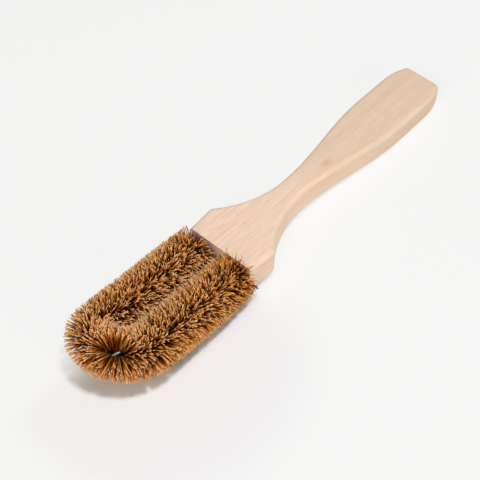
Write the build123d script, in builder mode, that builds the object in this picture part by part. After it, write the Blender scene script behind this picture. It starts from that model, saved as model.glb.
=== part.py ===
from build123d import *

import os
from math import ceil, cos, dist, pi, radians, sin

# A dish brush: a flat wooden handle, and a loop of twisted-in-wire coir brush whose two ends
# are set in bores in the handle's front end. Lengths are in millimetres, angles in degrees.
# The handle runs along +X and the loop along -X, the underside of the handle is level, and
# Z = 0 is the surface that the bristles stand on.

# Handle, seen from above: runs along its length, from its front end to its free end
flare_run = 16.8
neck_run = 38.2
grip_run = 73.0
shoulder_run = 20.5
end_run = 16.5
bore_margin = 6.65
flare_step = 1.3
neck_half_width = 6.7
grip_half_width = 14.6
end_half_width = 10.5
flare_rounding = 3.5
end_rounding = 2.6

# Handle, seen from the side
front_thickness = 17.0
end_thickness = 12.0
edge_easing = 2.4

# Loop of wire, along the middle of the twisted pair
loop_reach = 79.0
far_bend_radius = 7.0
crossing = 1.0
loop_slope = 6.4

# Twisted pair
wire_diameter = 1.5
core_diameter = 1.0
grip_clearance = 0.05
twist_pitch = 10.0
wire_sides = 6
rings_per_turn = 8

# Bores in the handle's front end
bore_depth = 22.0
bore_clearance = 0.1
tail_clearance = 2.0

# Bristles
leg_bristle_reach = 13.5
leg_overlap = 0.5
root_thinning = 1.3
root_taper_run = 22.0
bristle_width = 0.7
bristle_step = 0.8
bristle_start = 1.6
bristle_spread = 0.6
meeting_clearance = 1.2
core_ring_step = 2.4
foot_trim = 0.5
uneven_share = 0.618

# Worked out from the sizes above. The two legs stand as far apart as their bristles need, and
# the handle's front is as wide as the legs need.
leg_spacing = 2 * leg_bristle_reach - leg_overlap
near_bend_radius = leg_spacing - crossing - far_bend_radius
root_bristle_reach = leg_bristle_reach - root_thinning
front_half_width = leg_spacing / 2 + bore_margin
flare_half_width = front_half_width + flare_step
neck_reach = flare_run + neck_run
grip_reach = neck_reach + grip_run
shoulder_reach = grip_reach + shoulder_run
handle_length = shoulder_reach + end_run
wire_offset = core_diameter / 2 + grip_clearance + wire_diameter / 2
twist_radius = wire_offset + wire_diameter / 2
bore_radius = twist_radius + bore_clearance
tail_length = bore_depth - tail_clearance
curve_run = loop_reach - max(far_bend_radius, near_bend_radius)
curve_radius = curve_run / radians(loop_slope)

far_leg = loop_reach - far_bend_radius
far_bend = far_bend_radius * pi / 2
near_bend = near_bend_radius * pi / 2
near_leg = loop_reach - near_bend_radius
crown_start = far_leg
crown_end = far_leg + far_bend + crossing + near_bend
loop_length = crown_end + near_leg


def plan(s):
    """Place (u, v) and heading of the wire in the flat loop, s along it from the far bore's mouth.

    u runs out of the handle, v is the side, and the heading turns from 0 to -180 degrees.
    """
    if s < far_leg:
        return s, leg_spacing / 2, 0.0
    s -= far_leg
    if s < far_bend:
        turn = s / far_bend_radius
        u = far_leg + far_bend_radius * sin(turn)
        return u, leg_spacing / 2 - far_bend_radius * (1 - cos(turn)), -turn
    s -= far_bend
    if s < crossing:
        return loop_reach, leg_spacing / 2 - far_bend_radius - s, -pi / 2
    s -= crossing
    if s < near_bend:
        turn = pi / 2 - s / near_bend_radius
        u = near_leg + near_bend_radius * sin(turn)
        return u, near_bend_radius * (1 - cos(turn)) - leg_spacing / 2, turn - pi
    return near_leg - (s - near_bend), -leg_spacing / 2, -pi


def rise(u):
    """How far out, how high and how steep the loop is: level in the bores, then an easy curve up."""
    slope = radians(loop_slope) * min(max(u / curve_run, 0), 1)
    beyond = max(u - curve_run, 0)
    out = min(u, 0) + curve_radius * sin(slope) + beyond * cos(slope)
    return out, curve_radius * (1 - cos(slope)) + beyond * sin(slope), slope


def bristle_reach(u):
    """Trimmed radius of the brush, a little less beside the handle."""
    share = min(max(u / root_taper_run, 0), 1)
    return root_bristle_reach + (leg_bristle_reach - root_bristle_reach) * share


# The loop's deepest bristles are trimmed flat, and the whole brush is centred on its box
station_count = 200
stations = [loop_length * i / station_count for i in range(station_count + 1)]
deepest = max(bristle_reach(plan(s)[0]) - rise(plan(s)[0])[1] for s in stations)
bore_height = deepest - foot_trim
handle_base = bore_height - front_thickness / 2
head_length = rise(loop_reach)[0] + leg_bristle_reach
front_x = (head_length - handle_length) / 2


def wire_frame(s):
    """Centre of the twisted pair, its direction, the loop's outward side and the loop's upper side."""
    u, v, heading = plan(s)
    out, height, slope = rise(u)
    away = Vector(-cos(slope), 0, sin(slope))
    side = Vector(0, 1, 0)
    upward = Vector(sin(slope), 0, cos(slope))
    centre = Vector(front_x - out, v, bore_height + height)
    along = away * cos(heading) + side * sin(heading)
    outward = side * cos(heading) - away * sin(heading)
    return centre, along, outward, upward


def around(s, angle):
    """Direction square to the wire, at an angle from the loop's outward side."""
    centre, along, outward, upward = wire_frame(s)
    return outward * cos(radians(angle)) + upward * sin(radians(angle))


def twist(s):
    """Angle at which the fibres leave the twisted pair."""
    return 360 * s / twist_pitch


def wire_centre(s, side):
    """Centre of one of the two wires, a quarter turn to one side of the fibres."""
    return wire_frame(s)[0] + around(s, twist(s) + side * 90) * wire_offset


def wire_stations():
    count = ceil((loop_length + 2 * tail_length) / twist_pitch * rings_per_turn)
    step = (loop_length + 2 * tail_length) / count
    return [i * step - tail_length for i in range(count + 1)]


def make_wire(side):
    """One wire of the pair: a single tube, faceted, from the end of one bore to the end of the other."""
    nudge = wire_diameter / 10
    rings = []
    for s in wire_stations():
        direction = wire_centre(s + nudge, side) - wire_centre(s - nudge, side)
        outwards = around(s, twist(s) + side * 90)
        section = Plane(origin=wire_centre(s, side), x_dir=outwards, z_dir=direction)
        with BuildSketch(section, mode=Mode.PRIVATE) as ring:
            RegularPolygon(radius=wire_diameter / 2, side_count=wire_sides)
        rings.append(ring.sketch)
    return loft(rings, ruled=True, mode=Mode.PRIVATE)


def least_gap(first, second, apart):
    """Least gap between two wires, on points at least so many rings apart along them."""
    centres = [[tuple(wire_centre(s, side)) for s in wire_stations()] for side in (first, second)]
    gaps = [
        dist(a, b) - wire_diameter
        for i, a in enumerate(centres[0])
        for b in centres[1][i + apart :]
    ]
    return min(gaps)


def room_inside(s):
    """How far bristles can point into the loop before they meet those of another stretch of it."""
    u, v, heading = plan(s)
    others = [plan(other)[:2] for other in stations]
    reach = leg_bristle_reach
    while reach > bristle_width:
        tip = (u + sin(heading) * reach, v - cos(heading) * reach)
        if min(dist(tip, other) for other in others) > reach - meeting_clearance / 2:
            break
        reach -= bristle_width / 4
    return reach - meeting_clearance / 2


def bristle(s, angle, number):
    """One bristle: a square prism from the middle of the core out to the trimmed surface."""
    direction = around(s, angle)
    inward = -cos(radians(angle))
    reach = bristle_reach(plan(s)[0]) - bristle_spread * (number * uneven_share % 1)
    if inward > 0:
        reach = min(reach, room_inside(s) / inward)
    foot = Plane(origin=wire_frame(s)[0], x_dir=wire_frame(s)[1], z_dir=direction)
    with BuildSketch(foot, mode=Mode.PRIVATE) as section:
        Rectangle(bristle_width, bristle_width)
    return extrude(section.sketch, amount=reach, mode=Mode.PRIVATE)


def core_slice(start, end):
    """The stretch of the fibres' gripped middles that one group of bristles grows from."""
    count = ceil((end - start) / core_ring_step)
    rings = []
    for i in range(count + 1):
        centre, along, outward, upward = wire_frame(start + (end - start) * i / count)
        section = Plane(origin=centre, x_dir=outward, z_dir=along)
        with BuildSketch(section, mode=Mode.PRIVATE) as ring:
            RegularPolygon(radius=core_diameter / 2, side_count=wire_sides)
        rings.append(ring.sketch)
    return loft(rings, ruled=True, mode=Mode.PRIVATE)


def fibre_place(number):
    """Where along the wire a fibre is gripped."""
    return bristle_start + (number + 0.5) * fibre_step


def grow_bristles(first, last):
    """The fibres from one number up to another, on their slice of the core, in one fuse.

    Each fibre is gripped at its middle and shows both its ends.
    """
    core = core_slice(bristle_start + first * fibre_step, bristle_start + last * fibre_step)
    bristles = []
    for number in range(first, last):
        s = fibre_place(number)
        bristles += bristle(s, twist(s), 2 * number).solids()
        bristles += bristle(s, twist(s) + 180, 2 * number + 1).solids()
    return core.solid().fuse(*bristles)


fibre_count = round((loop_length - 2 * bristle_start) / bristle_step)
fibre_step = (loop_length - 2 * bristle_start) / fibre_count
crown_first = round((crown_start - bristle_start) / fibre_step)
crown_last = round((crown_end - bristle_start) / fibre_step)

# Handle: sawn to its outline, planed thinner towards the free end, its long edges eased
with BuildPart() as handle:
    with BuildSketch(Plane.XY.offset(handle_base)) as outline:
        with BuildLine():
            flare = (front_x + flare_run, flare_half_width)
            neck = (front_x + neck_reach, neck_half_width)
            grip = (front_x + grip_reach, grip_half_width)
            shoulder = (front_x + shoulder_reach, grip_half_width)
            corner = (front_x + handle_length, end_half_width)
            Polyline((front_x, 0), (front_x, front_half_width), flare)
            TangentArc(neck, flare, tangent=(-1, 0))
            Spline(neck, grip, tangents=[(1, 0), (1, 0)])
            Line(grip, shoulder)
            TangentArc(shoulder, corner, tangent=(1, 0))
            Line(corner, (front_x + handle_length, 0))
            mirror(about=Plane.XZ)
        make_face()
        fillet(outline.vertices().group_by(Axis.X)[-1], radius=end_rounding)
        widest = outline.vertices().group_by(Axis.Y)
        fillet(widest[0] + widest[-1], radius=flare_rounding)
    extrude(amount=front_thickness)
    top_front = (front_x, 0, handle_base + front_thickness)
    top_normal = (front_thickness - end_thickness, 0, handle_length)
    split(bisect_by=Plane(origin=top_front, z_dir=top_normal), keep=Keep.BOTTOM)
    upper = handle.faces().sort_by(Axis.Z)[-1]
    under = handle.faces().sort_by(Axis.Z)[0]
    rims = upper.edges() + under.edges()
    fillet([e for e in rims if e.center().X > front_x + edge_easing], radius=edge_easing)
    front_plane = Plane(origin=(front_x, 0, bore_height), x_dir=(0, 1, 0), z_dir=(-1, 0, 0))
    with Locations(front_plane):
        with GridLocations(leg_spacing, 0, 2, 1):
            Hole(radius=bore_radius, depth=bore_depth)

# Twisted pair: two wires that grip the fibres between them
with BuildPart() as core_wire_a:
    add(make_wire(1))
with BuildPart() as core_wire_b:
    add(make_wire(-1))

# Bristles: the middles of the fibres are one core, in three slices that meet end to end
with BuildPart() as bristles_far_leg:
    add(grow_bristles(0, crown_first))
    split(bisect_by=Plane.XY, keep=Keep.TOP)
with BuildPart() as bristles_crown:
    add(grow_bristles(crown_first, crown_last))
with BuildPart() as bristles_near_leg:
    add(grow_bristles(crown_last, fibre_count))
    split(bisect_by=Plane.XY, keep=Keep.TOP)

pieces = {
    "handle": handle,
    "core_wire_a": core_wire_a,
    "core_wire_b": core_wire_b,
    "bristles_far_leg": bristles_far_leg,
    "bristles_crown": bristles_crown,
    "bristles_near_leg": bristles_near_leg,
}

turn = rings_per_turn // 2
print(f"wire's least gap to itself {least_gap(1, 1, turn):.2f} mm, to its twin {least_gap(1, -1, 0):.2f} mm")
print(f"{2 * fibre_count} bristles on {loop_length:.1f} mm of wire")

os.makedirs("parts", exist_ok=True)
for name, piece in pieces.items():
    piece.part.label = name
    export_step(piece.part, f"parts/{name}.step")
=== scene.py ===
# %% [markdown]
# # A wooden dish brush with a loop of coir
#
# The brush is a flat rubberwood handle with a loop of twisted-in-wire coir in its front end.
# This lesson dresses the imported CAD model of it. The frame comes first, because every piece
# below is placed from it, in metres and in the CAD's own axes.

# %% Load the frame
from math import cos, pi, radians, sin

import bpy
import numpy as np
from mathutils import Matrix, Vector


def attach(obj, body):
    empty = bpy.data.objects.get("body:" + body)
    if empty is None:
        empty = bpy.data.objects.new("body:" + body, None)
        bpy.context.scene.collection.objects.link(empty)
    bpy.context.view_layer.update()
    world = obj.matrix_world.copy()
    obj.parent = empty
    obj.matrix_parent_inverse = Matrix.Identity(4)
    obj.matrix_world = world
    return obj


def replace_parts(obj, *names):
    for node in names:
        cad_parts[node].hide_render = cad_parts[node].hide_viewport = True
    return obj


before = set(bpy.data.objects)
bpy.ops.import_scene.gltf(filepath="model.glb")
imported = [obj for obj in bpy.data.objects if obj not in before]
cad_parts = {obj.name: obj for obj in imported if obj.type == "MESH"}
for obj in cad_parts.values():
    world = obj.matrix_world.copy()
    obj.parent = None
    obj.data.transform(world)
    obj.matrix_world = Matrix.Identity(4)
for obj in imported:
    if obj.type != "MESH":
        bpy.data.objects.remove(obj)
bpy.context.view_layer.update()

MM = 0.001

# %% [markdown]
# ## Colours
#
# A paint chart or a picture gives colours in sRGB, while shaders count in linear light. One
# function turns the six digits of the first into the numbers of the second, so that every
# colour below can be written and compared in the way that the eye knows it.

# %% From sRGB hex to linear light
def linear(colour):
    parts = [int(colour[i : i + 2], 16) / 255 for i in (0, 2, 4)]
    return (*[p / 12.92 if p <= 0.04045 else ((p + 0.055) / 1.055) ** 2.4 for p in parts], 1.0)


print("in linear light white is", linear("FFFFFF")[0], "and mid grey", round(linear("808080")[0], 3))

# %% [markdown]
# ## Shader nodes
#
# A material is a small tree of nodes. It could be wired by hand in the editor, or by three
# lines of code for each node. One helper keeps it to one line: a value goes onto a socket, and
# another node's socket goes onto it as a link.

# %% One helper for every node
def add_node(tree, kind, links=None, stops=(), **settings):
    """Adds a node. links maps its inputs to sockets or values, and stops are a ramp's (place, hex)."""
    new = tree.nodes.new("ShaderNode" + kind)
    for number, (place, colour) in enumerate(stops):
        ramp = new.color_ramp.elements
        element = ramp[number] if number < 2 else ramp.new(place)
        element.position, element.color = place, linear(colour)
    for name, value in settings.items():
        setattr(new, name, value)
    for name, value in (links or {}).items():
        if isinstance(value, bpy.types.NodeSocket):
            tree.links.new(value, new.inputs[name])
        else:
            new.inputs[name].default_value = value
    return new


def new_material(name):
    material = bpy.data.materials.new(name)
    material.use_nodes = True
    tree = material.node_tree
    tree.nodes.clear()
    return material, tree


print("node helpers ready in Blender", bpy.app.version_string)

# %% [markdown]
# ## Camera
#
# The photograph looks down on the brush from over its loop. Its camera was solved from the
# outline of the handle and of the bristles, so distance, angles and lens go together: with
# another lens the far end of the handle would come out too large or too small.

# %% Camera at the photograph's angle
camera_target = Vector((-20.48, 0.64, 12.0)) * MM
camera_distance = 724.6 * MM
camera_azimuth, camera_height, camera_roll = radians(-48.04), radians(51.605), radians(-0.384)

level = Vector((cos(camera_azimuth), sin(camera_azimuth), 0))
flat = cos(camera_height)
back = Vector((sin(camera_azimuth) * flat, -cos(camera_azimuth) * flat, sin(camera_height)))
above = back.cross(level)
right = level * cos(camera_roll) + above * sin(camera_roll)
turned = Matrix((right, back.cross(right), back)).transposed().to_4x4()

lens = bpy.data.cameras.new("camera")
lens.sensor_width, lens.lens = 36.0, 108.97
lens.clip_start, lens.clip_end = 0.01, 20.0
camera = bpy.data.objects.new("camera", lens)
camera.matrix_world = Matrix.Translation(camera_target + back * camera_distance) @ turned
bpy.context.scene.collection.objects.link(camera)
bpy.context.scene.camera = camera
print("camera at, in mm:", [round(v / MM, 1) for v in camera.matrix_world.translation])

# %% [markdown]
# ## Floor
#
# Set down on a table, the brush rests on its lowest bristles and on the lower edge of the
# handle's free end, so it leans a little. The CAD keeps the handle's underside level, so here
# the floor leans instead. The two places that it touches could be guessed, but a straight edge
# pushed up from below against the side view finds them: it is the lower hull of all points.

# %% Where a straight edge touches from below
points = np.array([v.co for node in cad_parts.values() for v in node.data.vertices])
hull = []
for x, y, z in points[np.lexsort((points[:, 2], points[:, 0]))]:
    while len(hull) > 1:
        (x0, z0), (x1, z1) = hull[-2:]
        if (x1 - x0) * (z - z0) > (z1 - z0) * (x - x0):
            break
        hull.pop()
    hull.append((x, z))
balance_x = 25 * MM  # near the middle of the weight, which is mostly handle
ahead = next(i for i, (x, z) in enumerate(hull) if x > balance_x)
(x0, z0), (x1, z1) = hull[ahead - 1 : ahead + 1]
floor_lean = (z1 - z0) / (x1 - x0)
print(f"floor touches at x {x0 / MM:.1f} and {x1 / MM:.1f} mm, and leans {floor_lean * 180 / pi:.2f} degrees")

# %% Floor through these two places
half, floor_drop = 3.0, 0.05 * MM
corners = [(-half, -half), (half, -half), (half, half), (-half, half)]
places = [(x, y, z0 - floor_drop + floor_lean * (x - x0)) for x, y in corners]
mesh = bpy.data.meshes.new("floor")
mesh.from_pydata(places, [], [(0, 1, 2, 3)])
floor = bpy.data.objects.new("floor", mesh)
bpy.context.scene.collection.objects.link(floor)
print("floor is", 2 * half, "m across")

# %% [markdown]
# ## Lamps
#
# The photograph has one soft lamp high over the brush. It throws a short shadow with soft
# edges, and leaves the handle's sides nearly as bright as its top, so much light also comes
# from the front and from the side. Three round lamps that face the head do this. A sun lamp
# would be simpler, but a lamp at a real distance has a real size, and its light thins out
# towards the corners. The key is a little cool and the other two are a little warm, so open
# paper stays neutral and the shadow turns brown, as it is in the photograph. Together with the
# room they light a white card to just about white, so colours come out as they are written.

# %% Lamps
head = Vector((-80, 0, 10)) * MM


def add_lamp(name, towards, distance, share, across, colour):
    """share is how near to white it lights a level card at the head. across is in degrees."""
    towards = Vector(towards).normalized()
    light = bpy.data.lights.new(name, "AREA")
    light.shape, light.size = "DISK", 2 * distance * sin(radians(across / 2))
    light.energy, light.color = share * (pi * distance) ** 2 / towards.z, linear(colour)[:3]
    lamp = bpy.data.objects.new(name, light)
    lamp.location = head + towards * distance
    lamp.rotation_mode = "QUATERNION"
    lamp.rotation_quaternion = towards.to_track_quat("Z", "Y")
    bpy.context.scene.collection.objects.link(lamp)
    print(f"{name}: {light.size / MM:.0f} mm across, {light.energy:.1f} W")


add_lamp("key", (0.05, -0.21, 1.0), 1.5, 0.585, 9, "F6F9FF")
add_lamp("front_fill", (-1.0, -0.2, 0.8), 2.0, 0.195, 30, "FFF2E2")
add_lamp("side_fill", (-0.1, -1.0, 0.36), 2.0, 0.075, 30, "FFF2E2")

# %% [markdown]
# ## The room
#
# Light also comes from every side, off the walls. The world gives it. What the camera and the
# wire's reflections see there is another matter: a plain pale backdrop, picked out with the
# Light Path node, so that it can be white without more light on the brush.

# %% What is looked at, and what only gives light
def looked_at(tree):
    """1 where the camera looks, straight or by way of a shine or of glass, and 0 elsewhere."""
    path = add_node(tree, "LightPath")
    seen = path.outputs["Is Camera Ray"]
    for ray in ("Is Glossy Ray", "Is Transmission Ray"):
        seen = add_node(tree, "Math", {0: seen, 1: path.outputs[ray]}, operation="MAXIMUM").outputs[0]
    return seen


print("three kinds of ray look, and all others only carry light")

# %% Room and backdrop
bpy.context.scene.view_settings.view_transform = "Standard"
world = bpy.data.worlds.new("room")
world.use_nodes = True
bpy.context.scene.world = world
tree = world.node_tree
tree.nodes.clear()
room_light = 0.16
walls = add_node(tree, "Background", {"Color": linear("FFE8CC"), "Strength": room_light})
backdrop = add_node(tree, "Background", {"Color": linear("F5F5F4"), "Strength": 1.0})
both = add_node(tree, "MixShader", {0: looked_at(tree), 1: walls.outputs[0], 2: backdrop.outputs[0]})
add_node(tree, "OutputWorld", {"Surface": both.outputs[0]})
print("room light:", room_light, "of white")

# %% [markdown]
# ## Paper
#
# The brush lies on matt white paper, which has no shine at all. In the photograph the paper is
# evenly white right up to the bristles, and only the shadow in front of the head is left.
# Lamps alone would leave a grey halo all round. So the camera, and what looks by way of a
# shine or of glass, sees the paper partly as plain white, except where that shadow falls: the
# white starts behind the brush, and again a palm's width away from the shadow. The light that
# the paper throws back isn't changed.

# %% Where the paper shows as plain white
paper, tree = new_material("matt_white_paper")
soft_edge = {"interpolation_type": "SMOOTHSTEP"}
whitened, fade_in = 0.7, 25 * MM
shadow_place, shadow_core, shadow_edge = Vector((-95, -15, 0)) * MM, 50 * MM, 85 * MM

place = add_node(tree, "TexCoord").outputs["Object"]
across = add_node(tree, "SeparateXYZ", {0: place}).outputs["Y"]
behind = add_node(tree, "MapRange", {0: across, 1: 0.0, 2: fade_in, 4: whitened}, **soft_edge)
off = add_node(tree, "VectorMath", {0: place, 1: shadow_place}, operation="DISTANCE").outputs["Value"]
apart = add_node(tree, "MapRange", {0: off, 1: shadow_core, 2: shadow_edge, 4: whitened}, **soft_edge)
white = add_node(tree, "Math", {0: behind.outputs[0], 1: apart.outputs[0]}, operation="MAXIMUM")
white = add_node(tree, "Math", {0: white.outputs[0], 1: looked_at(tree)}, operation="MULTIPLY")
print("up to", whitened, "of the paper's look is plain white")

# %% Matt white paper
matt = {"Base Color": linear("F4F8FC"), "Roughness": 0.9, "Specular IOR Level": 0.0}
skin = add_node(tree, "BsdfPrincipled", matt)
plain = add_node(tree, "Emission", {"Color": linear("F9F9F8"), "Strength": 1.0})
both = add_node(tree, "MixShader", {0: white.outputs[0], 1: skin.outputs[0], 2: plain.outputs[0]})
add_node(tree, "OutputMaterial", {"Surface": both.outputs[0]})
floor.data.materials.append(paper)
print("paper:", len(tree.nodes), "nodes")

# %% [markdown]
# ## Rubberwood: its place in the block
#
# The handle is bare, sanded rubberwood. Its figure could be painted on a map of the skin, but
# then it would break at every edge. Real grain runs through the whole block, so the pattern is
# made from the place in the block, in millimetres, and a slow drift bends it a little, as no
# tree grows quite straight.

# %% Millimetres in a block of timber
wood, tree = new_material("rubberwood_sanded")
drift_length, drift_reach = 60, 5
place = add_node(tree, "TexCoord")
straight = add_node(tree, "VectorMath", {0: place.outputs["Object"], "Scale": 1 / MM}, operation="SCALE")
drift = add_node(tree, "TexNoise", {"Vector": straight.outputs[0], "Scale": 1 / drift_length, "Detail": 1.0})
drift = add_node(tree, "VectorMath", {0: drift.outputs["Color"], "Scale": drift_reach}, operation="SCALE")
bent_block = add_node(tree, "VectorMath", {0: straight.outputs[0], 1: drift.outputs[0]}, operation="ADD")
block = bent_block.outputs[0]
print("the grain drifts by up to", drift_reach, "mm over about", drift_length, "mm")

# %% [markdown]
# ## Rubberwood: bands and streaks
#
# Growth gives pale bands about 5 mm wide and well over 100 mm long. Cut vessels give fine
# pink-brown streaks, which are about 0.2 mm wide on real rubberwood and are drawn here at
# 0.6 mm, because finer ones wouldn't show. Bands and streaks are one cloudy pattern drawn out
# along the grain, more or less far, so one function makes them. The streaks are plain at the
# front of the handle and hardly to be seen on its grip. The grip is also painted a little
# darker, as painted shade where the lamp's light falls off towards the handle's end, and a
# little more yellow.

# %% Bands and streaks
def grain(tree, block, length, width, detail=2.0, roughness=0.5):
    """A cloudy pattern through the block, its spots drawn out to length by width, in mm."""
    scale = (1 / length, 1 / width, 1 / width)
    drawn_out = add_node(tree, "Mapping", {0: block, "Scale": scale}).outputs[0]
    clouds = {"Vector": drawn_out, "Scale": 1.0, "Detail": detail, "Roughness": roughness}
    return add_node(tree, "TexNoise", clouds).outputs["Fac"]


creams = [(0.3, "F7E1C9"), (0.5, "F4DAC0"), (0.7, "EFD1B6")]
bands = add_node(tree, "ValToRGB", {0: grain(tree, block, 120, 5)}, stops=creams)
pinks = [(0.38, "EBC3A8"), (0.56, "FAE9D8")]
streaks = add_node(tree, "ValToRGB", {0: grain(tree, block, 60, 0.6, roughness=0.6)}, stops=pinks)
print("wood so far:", len(tree.nodes), "nodes")

# %% From the streaky front to the plain grip
mix_colours, tint = {"data_type": "RGBA"}, {"data_type": "RGBA", "blend_type": "MULTIPLY"}
front_ends, grip_starts = 15.0, 50.0
front_streaks, grip_streaks = 0.42, 0.16
along_block = add_node(tree, "SeparateXYZ", {0: block}).outputs["X"]
to_grip = add_node(tree, "MapRange", {0: along_block, 1: front_ends, 2: grip_starts}).outputs[0]
streaky = add_node(tree, "MapRange", {0: to_grip, 3: front_streaks, 4: grip_streaks}).outputs[0]
timber = add_node(tree, "Mix", {0: streaky, 6: bands.outputs[0], 7: streaks.outputs[0]}, **mix_colours)
# painted shade: the grip is painted a little darker where the lamp's light falls off, and a little more
# yellow
grip_tint_and_painted_falloff = add_node(tree, "Mix", {0: to_grip, 6: linear("FFFFFF"), 7: linear("F5F5F2")}, **mix_colours)
timber = add_node(tree, "Mix", {0: 1.0, 6: timber.outputs[2], 7: grip_tint_and_painted_falloff.outputs[2]}, **tint)
print("wood so far:", len(tree.nodes), "nodes")

# %% [markdown]
# ## Rubberwood: pores and pin knots
#
# Where a vessel is cut open lengthwise it leaves a short dark dash, about 9 mm long and
# 0.2 mm wide. It is drawn 0.4 mm wide so that it shows. Two pin knots show on the handle's
# upper side, a faint round one and a small dark one. Each is a soft spot round its place,
# drawn out along the grain, and it goes down through the block.

# %% Pores and two pin knots
faint, dark, pore_share = 0.62, 0.76, 0.55
dashes = grain(tree, block, 9, 0.4, detail=1.0)
pores = add_node(tree, "MapRange", {0: dashes, 1: faint, 2: dark, 4: pore_share}).outputs[0]
timber = add_node(tree, "Mix", {0: pores, 6: timber.outputs[2], 7: linear("D9AE8C")}, **mix_colours)

knot_core = 0.2
along_grain = 0.6  # shrinks distances along the grain, so that a knot comes out longer that way
plan = add_node(tree, "Mapping", {0: straight.outputs[0], "Scale": (along_grain, 1.0, 0.0)}).outputs[0]
knots = ((42.8, -2.7, 3.4, 0.3), (42.8, -2.7, 0.9, 0.4), (58.2, -13.3, 1.2, 0.75))
for x, y, size, strength in knots:
    knot_place = (along_grain * x, y, 0.0)
    off = add_node(tree, "VectorMath", {0: plan, 1: knot_place}, operation="DISTANCE").outputs["Value"]
    fading = {0: off, 1: knot_core * size, 2: size, 3: strength, 4: 0.0}
    knot = add_node(tree, "MapRange", fading, **soft_edge).outputs[0]
    timber = add_node(tree, "Mix", {0: knot, 6: timber.outputs[2], 7: linear("CF9C78")}, **mix_colours)
print("wood so far:", len(tree.nodes), "nodes")

# %% [markdown]
# ## Rubberwood: sawn ends and skin
#
# The two ends are sawn across the grain and show the cut fibres from their ends. They are
# painted paler and greyer than the rest; the paleness is painted light, which brightens the
# front face where the coir shades it. Sanding leaves the rest smooth but open, so it has a soft
# sheen and no gloss: a roughness of 0.6, and a faint relief, half a millimetre from rib to rib
# and a few hundredths deep, which a bump gives at a quarter of its strength.

# %% Sawn ends and sanded skin
rounded, square_on, pale_end_paint_share = 0.9, 0.98, 0.75
rib_strength, rib_depth = 0.25, 0.1 * MM
facing = add_node(tree, "SeparateXYZ", {0: place.outputs["Normal"]})
facing = add_node(tree, "Math", {0: facing.outputs["X"]}, operation="ABSOLUTE")
# painted light: the sawn ends are painted paler and greyer, which brightens the shaded front face
sawn = add_node(tree, "MapRange", {0: facing.outputs[0], 1: rounded, 2: square_on, 4: pale_end_paint_share}).outputs[0]
timber = add_node(tree, "Mix", {0: sawn, 6: timber.outputs[2], 7: linear("F8ECEA")}, **mix_colours)
ribs = {"Strength": rib_strength, "Distance": rib_depth, "Height": grain(tree, block, 12, 0.5)}
bump = add_node(tree, "Bump", ribs)
sanded = {"Base Color": timber.outputs[2], "Roughness": 0.6, "Specular IOR Level": 0.35}
sanded["Normal"] = bump.outputs[0]
skin = add_node(tree, "BsdfPrincipled", sanded)
add_node(tree, "OutputMaterial", {"Surface": skin.outputs[0]})
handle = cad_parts["handle"]
handle.data.materials.clear()
handle.data.materials.append(wood)
print("handle wears", handle.data.materials[0].name, "with", len(tree.nodes), "nodes")

# %% [markdown]
# ## The line of the wire
#
# Two galvanised wires are laid side by side, the coir is spread between them, and the pair is
# twisted. Everything in the loop hangs on that line: out of one bore, round a tight and a wide
# bend, and back to the other bore, while it climbs gently. It could be a drawn curve, but the
# direction that it heads in is the simplest thing to say about it, so the line is that
# direction, added up along its length.

# %% The loop seen flat, in mm as in the CAD
front_x, bore_height = -36.3705, 12.5475
leg_spacing, loop_reach = 26.5, 79.0
far_bend_radius, near_bend_radius, crossing = 7.0, 18.5, 1.0
tail_length = 20.0  # of wire in each bore

far_leg, near_leg = loop_reach - far_bend_radius, loop_reach - near_bend_radius
turns_at = np.cumsum([far_leg, far_bend_radius * pi / 2, crossing, near_bend_radius * pi / 2, near_leg])
crown_start, crown_end, loop_length = turns_at[0], turns_at[3], turns_at[4]
table_s = np.linspace(-tail_length, loop_length + tail_length, 20001)
table_heading = np.interp(table_s, turns_at[:4], [0, -pi / 2, -pi / 2, -pi])
step = table_s[1] - table_s[0]
middle = (table_heading[1:] + table_heading[:-1]) / 2
table_u = np.concatenate([[0], np.cumsum(np.cos(middle) * step)]) - tail_length
table_v = np.concatenate([[0], np.cumsum(np.sin(middle) * step)]) + leg_spacing / 2
print(f"{loop_length:.1f} mm of wire shows, from {crown_start:.1f} to {crown_end:.1f} mm round the crown")

# %% [markdown]
# ## The loop's climb
#
# From the handle the loop bends gently upwards, and its crown runs on straight at that slope.
# Each place on the wire gets four things: the centre of the pair, the way ahead, the side that
# faces out of the loop, and the side that faces up. Fibres are laid out from these.

# %% Centre and three directions at any length of wire
loop_slope = radians(6.4)
curve_run = loop_reach - near_bend_radius
curve_radius = curve_run / loop_slope


def line(s):
    """Centre, direction, outward side and upper side of the pair, each (n, 3), at lengths s."""
    u, v, heading = (np.interp(s, table_s, t) for t in (table_u, table_v, table_heading))
    slope = loop_slope * np.clip(u / curve_run, 0, 1)
    beyond = np.maximum(u - curve_run, 0)
    out = np.minimum(u, 0) + curve_radius * np.sin(slope) + beyond * np.cos(slope)
    height = curve_radius * (1 - np.cos(slope)) + beyond * np.sin(slope)
    nothing = np.zeros_like(slope)
    away = np.stack([-np.cos(slope), nothing, np.sin(slope)], -1)
    side = np.stack([nothing, nothing + 1, nothing], -1)
    upward = np.stack([np.sin(slope), nothing, np.cos(slope)], -1)
    centre = np.stack([front_x - out, v, bore_height + height], -1)
    turn_cos, turn_sin = np.cos(heading)[..., None], np.sin(heading)[..., None]
    return centre, away * turn_cos + side * turn_sin, side * turn_cos - away * turn_sin, upward


print("far end of the loop, in mm:", line(np.array([(crown_start + crown_end) / 2]))[0][0].round(1))

# %% [markdown]
# ## One way to make everything thin
#
# A wire and a fibre are the same thing to a modeller: a round section carried along a line.
# A curve object with a bevel would do for two wires, but thousands of fibres are far quicker
# as one array of rings that becomes one mesh.

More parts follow.
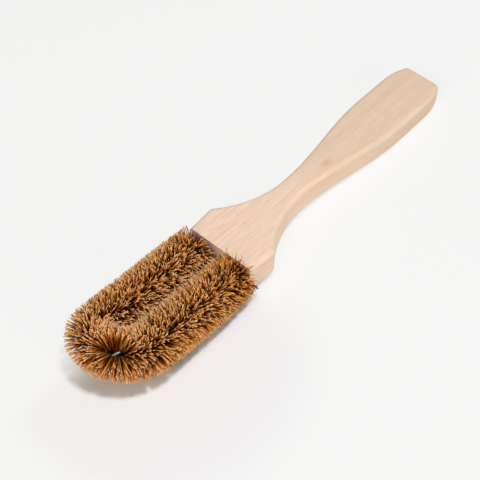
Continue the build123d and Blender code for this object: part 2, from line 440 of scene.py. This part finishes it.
# %% Rings carried along lines
def sweep(name, centres, across, other, radius, sides):
    """One mesh of tubes: centres, across and other (tubes, rings, 3), radius (tubes, rings), in mm."""
    tubes, rings = centres.shape[:2]
    turn = 2 * pi * np.arange(sides) / sides
    turn_cos, turn_sin = np.cos(turn)[:, None], np.sin(turn)[:, None]
    spread = across[:, :, None] * turn_cos + other[:, :, None] * turn_sin
    points = (centres[:, :, None] + spread * radius[:, :, None, None]) * MM
    number = np.arange(tubes * rings * sides).reshape(tubes, rings, sides)
    after = np.roll(number, -1, axis=2)
    walls = np.stack([number[:, :-1], after[:, :-1], after[:, 1:], number[:, 1:]], -1).reshape(-1, 4)
    ends = np.concatenate([number[:, 0, ::-1], number[:, -1]])
    new = bpy.data.meshes.new(name)
    new.from_pydata(points.reshape(-1, 3), [], walls.tolist() + ends.tolist())
    new.shade_smooth()
    piece = bpy.data.objects.new(name, new)
    bpy.context.scene.collection.objects.link(piece)
    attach(piece, "root")
    print(f"{name}: {tubes} tubes, {len(new.polygons)} faces")
    return piece


print("a tube has smooth walls and is closed by a face at each end")

# %% [markdown]
# ## Galvanised iron wire
#
# The wire is iron, dipped in molten zinc and drawn. Zinc that has met the air is a dull mid
# grey with faint blotches about a millimetre wide, where its crystals lie differently, and its
# shine is blurred. So it is a metal with its default IOR, a roughness of 0.42 to 0.6, and a
# grey that changes with the same blotches.

# %% Dull zinc
zinc, tree = new_material("galvanised_iron_wire")
place = add_node(tree, "TexCoord")
blotch, smoothest, roughest = 1.2 * MM, 0.42, 0.6
blotches = {"Vector": place.outputs["Object"], "Scale": 1 / blotch, "Detail": 3.0}
crystals = add_node(tree, "TexNoise", blotches)
grey = add_node(tree, "ValToRGB", {0: crystals.outputs["Fac"]}, stops=[(0.35, "6E7276"), (0.65, "9CA0A4")])
rough = add_node(tree, "MapRange", {0: crystals.outputs["Fac"], 3: smoothest, 4: roughest})
dull = {"Base Color": grey.outputs[0], "Metallic": 1.0, "Roughness": rough.outputs[0]}
skin = add_node(tree, "BsdfPrincipled", dull)
add_node(tree, "OutputMaterial", {"Surface": skin.outputs[0]})
print("zinc:", len(tree.nodes), "nodes")

# %% [markdown]
# ## Two wires, twisted
#
# The wires wind round each other once in 10 mm, half a turn apart, with the fibres' middles
# pinched between them. Only a glint of them shows, at the loop's outer bend. A screw modifier
# could wind a straight pair, but this pair has to follow the loop, so each wire is a line that
# circles round the line of the loop.

# %% Two wires round one line
wire_radius, wire_offset, twist_pitch = 0.75, 1.3, 10.0
wire_sides, wire_rings = 12, 620


def twist(s):
    return 2 * pi * s / twist_pitch


s = np.linspace(-tail_length, loop_length + tail_length, wire_rings)
radius = np.full((1, wire_rings), wire_radius)
centre, along, outward, upward = line(s)
for name, quarter in (("wire_a", pi / 2), ("wire_b", -pi / 2)):
    angle = (twist(s) + quarter)[:, None]
    away = outward * np.cos(angle) + upward * np.sin(angle)
    middle = centre + away * wire_offset
    ahead = np.gradient(middle, axis=0)
    ahead /= np.linalg.norm(ahead, axis=1, keepdims=True)
    other = np.cross(ahead, away)
    wire = sweep(name, middle[None], away[None], other[None], radius, wire_sides)
    wire.data.materials.append(zinc)
    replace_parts(wire, "core_" + name)
print("turns of the twist:", round(loop_length / twist_pitch, 1))

# %% [markdown]
# ## Coir
#
# Coir is the fibre of the coconut's husk: matt, woody, and golden brown, from nearly black to
# straw, each strand its own shade. It has hardly any shine. Three things give it depth. Every
# fibre has one tone of its own. Its outer end is paler, partly as dry fibre and partly as
# painted light, and its cut end carries a painted highlight. Towards the wire it is painted
# darker, as painted shade where little light comes in. Flecks about 1.5 mm across vary it
# further. Tone and reach are stored with the fibres, since a pattern in space can't tell two
# touching fibres apart.

# %% Coir's browns
coir, tree = new_material("coir_fibre_brown")
own_tone = add_node(tree, "Attribute", attribute_name="tone")
reached = add_node(tree, "Attribute", attribute_name="reach")
place = add_node(tree, "TexCoord")
fleck, fleck_share = 1.5 * MM, 0.3
spots = {"Vector": place.outputs["Object"], "Scale": 1 / fleck, "Detail": 2.0}
flecks = add_node(tree, "TexNoise", spots)
both_tones = {0: flecks.outputs["Fac"], 1: fleck_share, 2: own_tone.outputs["Fac"]}
tone = add_node(tree, "Math", both_tones, operation="MULTIPLY_ADD")
browns = [(0.12, "400C00"), (0.4, "A84A06"), (0.75, "F09434"), (1.0, "FFC878")]
husk = add_node(tree, "ValToRGB", {0: tone.outputs[0]}, stops=browns).outputs[0]
print("one fibre is one of many browns, from", browns[0][1], "to", browns[-1][1])

# %% Tips painted paler, painted highlights on the cuts and painted shade at the roots
zones = (  # name, from and to which share of the reach, how much at either end, colour
    # outer ends painted paler, partly as dry fibre and partly as painted light that brightens the tips
    ("paler tip, partly painted light", 0.7, 1.0, 0.0, 0.72, "FFC06E"),
    # a painted highlight on the cut ends
    ("painted highlight on the cut", 0.9, 0.98, 0.0, 0.6, "FFE2BC"),
    # painted shade towards the wire, where little light comes in
    ("painted shade at the root", 0.28, 0.86, 0.97, 0.0, "2C0500"),
)
for zone, first, last, at_first, at_last, colour in zones:
    share = {0: reached.outputs["Fac"], 1: first, 2: last, 3: at_first, 4: at_last}
    share = add_node(tree, "MapRange", share).outputs[0]
    husk = add_node(tree, "Mix", {0: share, 6: husk, 7: linear(colour)}, **mix_colours).outputs[2]
    print(f"{zone}: up to {max(at_first, at_last)} of #{colour}")
woody = {"Base Color": husk, "Roughness": 0.6, "Specular IOR Level": 0.02}
skin = add_node(tree, "BsdfPrincipled", woody)
add_node(tree, "OutputMaterial", {"Surface": skin.outputs[0]})
print("coir:", len(tree.nodes), "nodes")

# %% [markdown]
# ## How far a fibre reaches
#
# The finished loop is trimmed round, 13.5 mm from the wire, and a little shorter beside the
# handle. Inside the loop they are a millimetre longer, so that the two legs' fibres meet.
# The room there could be measured by shooting rays, but the loop is nearly flat, so it is
# enough to ask how far a tip can go inwards before it is nearer to another part of the wire.

# %% Room inside the loop
leg_reach, root_reach, root_taper_run = 13.5, 12.2, 22.0
inner_extra, crossed = 1.0, 2.5  # a tip may go so far past the middle between two parts of the wire
stations = np.linspace(0, loop_length, 400)
u, v, heading = (np.interp(stations, table_s, t) for t in (table_u, table_v, table_heading))
room = np.zeros_like(stations)
least, finer = 2.0, 0.25
for r in np.arange(least, leg_reach + inner_extra, finer):
    tip_u, tip_v = u + np.sin(heading) * r, v - np.cos(heading) * r
    nearest = np.hypot(tip_u[:, None] - u, tip_v[:, None] - v).min(1)
    room = np.where(nearest > r - crossed, r, room)
print(f"room inside the loop: {room.min():.1f} to {room.max():.1f} mm")

# %% The trim
def trimmed(s, angle):
    """Reach of a fibre that leaves the wire at s at an angle from the loop's outward side."""
    share = np.clip(np.interp(s, table_s, table_u) / root_taper_run, 0, 1)
    inward = np.maximum(-np.cos(angle), 1e-3)
    inner = np.clip(2 * inward - 1, 0, 1)  # 1 straight inwards, and 0 from 60 degrees off that
    reach = root_reach + (leg_reach - root_reach) * np.maximum(share, inner) + inner_extra * inner
    return np.minimum(reach, np.interp(s, stations, room) / inward)


root_and_middle = trimmed(np.array([1.0, 40.0]), np.zeros(2))
print("reach outwards at the root and at the middle of a leg, in mm:", root_and_middle.round(1))

# %% [markdown]
# ## Where the fibres part
#
# At the outer bend the wire is stretched and the fibres fan out, so they part round one spot
# and the wire glints through. Fewer fibres there would only make a bald patch. Instead each
# fibre near the spot is turned away from it, up or down, and leans away along the wire, and
# together they lie in a star round the glint.

# %% Parting and fan round the glint
parting_s, parting_length, parting_width = 93.6, 3.1, radians(50)
parting_line_s = [0, crown_start, 77.5, 83.5, 98.5, crown_end, loop_length]
parting_line = np.radians([118, 118, 88, 60, 52, 62, 62])
bend_s, bend_length, bend_width = 81.0, 6.0, radians(14)  # a faint parting in the tight bend
parting_core = 0.75  # fibres from the middle of a parting come to lie at this share of its width
fan_length, fan_width, fan_lean = 5.0, radians(60), 1.35


def parted(s, angle):
    """Angles turned away from the parting, and how far each fibre leans along the wire."""
    parting_angle = np.interp(s, parting_line_s, parting_line)
    off = (angle - parting_angle + pi) % (2 * pi) - pi
    near = parting_width * np.exp(-(((s - parting_s) / parting_length) ** 2))
    near = np.maximum(near, bend_width * np.exp(-(((s - bend_s) / bend_length) ** 2)))
    turned = near * (parting_core + (1 - parting_core) * np.abs(off) / np.maximum(near, 1e-3))
    pushed = np.sign(off) * np.where(np.abs(off) < near, turned, np.abs(off))
    gap = (s - parting_s) / fan_length
    return parting_angle + pushed, fan_lean * gap * np.exp(-(gap**2) - (off / fan_width) ** 2)


leans = parted(np.linspace(80, 110, 301), np.full(301, radians(52)))[1]
print(f"beside the glint fibres lean by up to {np.degrees(np.arctan(leans.max())):.0f} degrees")

# %% [markdown]
# ## How fibres lean
#
# Coir isn't combed. Neighbours cling together in small tufts that all lean one way, single
# fibres stray, and every fibre is a little bent. Random leans alone look like fur, so a few
# slow waves over the brush give the tufts, and small random ones are added to each fibre. At
# the far leg's root they also lean away from the handle, so that its front face shows.

# %% Tufts
tuft_waves, tuft_lean = 6, 0.06
tuft_turns, tuft_pitch = (2, 9), (3, 9)  # waves round the wire, and mm along it from one to the next


def tufts(rng, s, angle):
    """Shared leans along and round the wire, (2, n), from a few waves over the brush."""
    leans = np.zeros((2, len(s)))
    for wave in range(tuft_waves):
        turns, pitch, phase = rng.integers(*tuft_turns), rng.uniform(*tuft_pitch), rng.uniform(0, 2 * pi)
        leans[wave % 2] += tuft_lean * np.sin(turns * angle + 2 * pi * s / pitch + phase)
    return leans


sample = tufts(np.random.default_rng(1), np.linspace(0, 60, 500), np.linspace(0, 60, 500))
print(f"tufts lean by {np.degrees(np.abs(sample).mean()):.1f} degrees on average")

# %% Lean and curl of every fibre
broken_straying, handle_lean, handle_run = 0.45, 0.5, 8.0


def leaned(rng, s, angle, fan, broken, straying):
    """Lean and curl of each fibre, (2, n) each: along the wire and round it."""
    count = len(s)
    near_handle = np.clip(1 - np.interp(s, table_s, table_u) / handle_run, 0, 1)
    from_handle = np.where(s < loop_length / 2, handle_lean, 0.0) * near_handle
    lean = tufts(rng, s, angle) + rng.normal(0, straying, (2, count))
    lean = lean + broken * rng.normal(0, broken_straying, (2, count))
    lean[0] = lean[0] + from_handle + fan
    return lean, rng.normal(0, straying / 2, (2, count))


print(f"the far root leans away from the handle by {np.degrees(np.arctan(handle_lean)):.0f} degrees")

# %% [markdown]
# ## Cut ends and broken ends
#
# Scissors leave the ends uneven by a fraction of a millimetre, and brushing breaks some fibres
# off short, which then stand at odd angles. Both are drawn by chance for each fibre. A shape
# painted by hand would be more exact, but the photograph shows no single fibre well enough.

# %% Cut and broken lengths
trim_scatter, shortest, longest = 0.35, 0.3, 0.75


def cut_lengths(rng, s, angle, broken_share):
    """How far each fibre reaches, in mm, and which ones are broken. None is at the glint."""
    reach = trimmed(s, angle) - np.abs(rng.normal(0, trim_scatter, len(s)))
    broken = (rng.random(len(s)) < broken_share) & (np.abs(s - parting_s) > parting_length)
    return np.where(broken, reach * rng.uniform(shortest, longest, len(s)), reach), broken


print("a broken fibre keeps", shortest, "to", longest, "of its length")

# %% [markdown]
# ## Room for the table and the wood
#
# The brush stands on its lowest fibres and is set in a block of wood, so no fibre may go
# through either. Cloth or hair physics could push them clear. It is quicker to stop a fibre
# short of the table, to lay those under the handle's top against its front face, and to let
# only short strays lie over the wood.

# %% Clear of the table and of the wood
wood_top, wood_half_width, stray_limit = 21.0475, 21.1, 2.0
table_gap, face_gap, edge_gap, no_limit = 0.2, 0.35, 0.3, 99.0


def above_table(height, drop, reach):
    """Reach of a fibre that starts at a height and falls by drop for each mm of reach."""
    limit = np.where(drop > 0, (height - table_gap) / np.maximum(drop, 1e-3), no_limit)
    return np.minimum(reach, limit)


def off_wood(x, y, z):
    """x of points, moved out of the wood and, over it, kept near its edge."""
    at_face = (z < wood_top + edge_gap) & (np.abs(y) < wood_half_width)
    x = np.where(at_face, np.minimum(x, front_x - face_gap), x)
    past_face = np.maximum(x - front_x, 0)
    return x - (past_face - stray_limit * np.tanh(past_face / stray_limit))


stray = off_wood(front_x + 6, 0, 30) - front_x
print(f"a stray that would lie 6 mm over the wood lies {stray:.1f} mm over it")

# %% [markdown]
# ## The shape of a fibre
#
# Each fibre is gripped at its middle and shows two ends, which leave the wire on opposite
# sides and turn with the twist. Hair particles would be quick to comb, but they aren't mesh,
# and the export needs mesh. So each end is a tapered tube of three sides with a blunt cut end.
# Real coir is 0.1 to 0.4 mm thick. The tubes are 0.42 to 0.68 mm, because thinner ones blur
# into one brown at this size of picture, and each stands for two or three fibres that cling
# together.

# %% Centre line of every fibre
fibre_sides, fibre_rings = 3, 6
steps = np.linspace(0.04, 1, fibre_rings)  # shares of its length, from by the wire to the cut end


def bent(s, angle, lean, curl, reach):
    """Ring centres, the three directions that each fibre was laid out by, and its final reach."""
    reach = reach / np.sqrt(1 + (lean[1] + curl[1]) ** 2)
    centre, along, outward, upward = line(s)
    away = outward * np.cos(angle)[:, None] + upward * np.sin(angle)[:, None]
    around = np.cross(along, away)
    push_s, push_a = (lean[i][:, None] * steps + curl[i][:, None] * steps**2 for i in (0, 1))
    offset = away[:, None] * steps[:, None] + along[:, None] * push_s[..., None]
    offset = offset + around[:, None] * push_a[..., None]
    reach = above_table(centre[:, 2], -offset[:, -1, 2], reach)
    centres = centre[:, None] + offset * reach[:, None, None]
    centres[..., 0] = off_wood(*np.moveaxis(centres, -1, 0))
    return centres, along, around, away, reach


print("a fibre has", fibre_rings, "rings of", fibre_sides, "points")

# %% [markdown]
# ## Fibres of one stretch
#
# With these in hand a stretch of the brush takes few lines: places along the wire, angles
# round it, lengths, leans, tubes, and then two numbers on every point for the material. A seed
# for each stretch makes the same brush every time.

# %% Fibres of one stretch of the wire
thinnest, thickest, taper = 0.42, 0.68, 0.2
daylight_share, daylight_length = 0.25, 5.0
tone_spread, palest = (0.75, 0.85), 0.95


def fibres(name, first, last, seed, per_mm, splay, broken_share, straying):
    rng = np.random.default_rng(seed)
    count = int((last - first) * per_mm)
    s = first + (last - first) * (np.arange(count) + rng.random(count)) / count
    turned = twist(s) + pi * rng.integers(0, 2, count) + rng.normal(0, splay, count)
    angle, fan = parted(s, turned)
    reach, broken = cut_lengths(rng, s, angle, broken_share)
    lean, curl = leaned(rng, s, angle, fan, broken, straying)
    centres, along, around, away, reach = bent(s, angle, lean, curl, reach)

    radius = rng.uniform(thinnest, thickest, count)[:, None] / 2 * (1 - taper * steps**2)
    spin = rng.uniform(0, 2 * pi, count)[:, None]
    one = along * np.cos(spin) + around * np.sin(spin)
    across, other = (np.repeat(way[:, None], fibre_rings, axis=1) for way in (one, -np.cross(one, away)))
    piece = sweep(name, centres, across, other, radius, fibre_sides)

    # painted light: where the fibres fan out, their roots are painted less dark
    daylight = daylight_share * np.exp(-(((s - parting_s) / daylight_length) ** 2))
    reached = (reach[:, None] * steps / leg_reach + daylight[:, None] * (1 - steps)).ravel()
    own_tone = np.repeat(rng.beta(*tone_spread, count) * palest, fibre_rings)
    for attribute, values in (("tone", own_tone), ("reach", reached)):
        values = np.repeat(values, fibre_sides).astype(np.float32)
        piece.data.attributes.new(attribute, "FLOAT", "POINT").data.foreach_set("value", values)
    piece.data.materials.append(coir)
    return piece


print("fibres are", thinnest, "to", thickest, "mm thick")

# %% [markdown]
# ## Three stretches
#
# The CAD has the coir in three pieces, two legs and the crown, so the fibres come in the same
# three. They are straighter and less broken in the crown, where the bend spreads them, and
# more tangled along the legs, which do the scrubbing. At the handle they start a little way
# out, so that its front face shows.

# %% Far leg, crown and near leg
far_start, near_stop = 1.4, loop_length - 0.8
leg = dict(per_mm=62, splay=radians(70), broken_share=0.24, straying=0.22)
crown = dict(per_mm=56, splay=radians(78), broken_share=0.12, straying=0.1)
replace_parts(fibres("coir_far_leg", far_start, crown_start, 21, **leg), "bristles_far_leg")
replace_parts(fibres("coir_crown", crown_start, crown_end, 22, **crown), "bristles_crown")
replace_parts(fibres("coir_near_leg", crown_end, near_stop, 23, **leg), "bristles_near_leg")
print(f"coir covers {near_stop - far_start:.1f} mm of wire")
